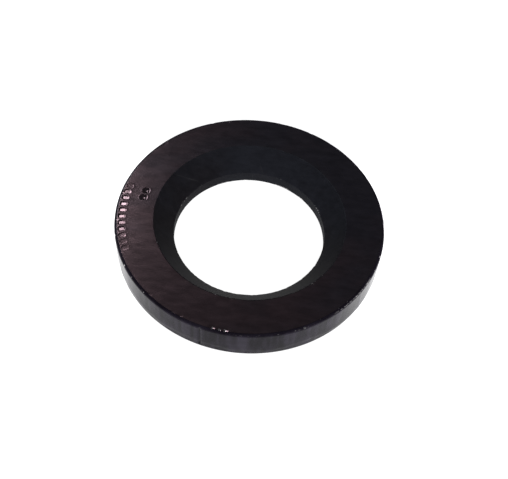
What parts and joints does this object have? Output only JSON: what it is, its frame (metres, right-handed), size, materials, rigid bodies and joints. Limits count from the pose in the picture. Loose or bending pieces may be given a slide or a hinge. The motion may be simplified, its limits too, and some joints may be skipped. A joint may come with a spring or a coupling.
{
  "type": "flat washer",
  "caption": "Hardened flat washer, a punched steel ring with a black oxide finish, a rolled outer edge, and a bore countersunk on its marked face.",
  "frame": {"origin": "centre of the bore on the plain face, the face away from the countersink", "axes": "+Z along the bore towards the marked, countersunk face; the row of stamped marks is centred near -X"},
  "size_m": [0.03, 0.03, 0.0038],
  "materials": {
    "black_oxide_steel": "black oxide, lightly oiled, semi-gloss on the faces and matt on the punched rim"
  },
  "bodies": {
    "root": {"washer_ring": "black_oxide_steel"}
  },
  "joints": []
}
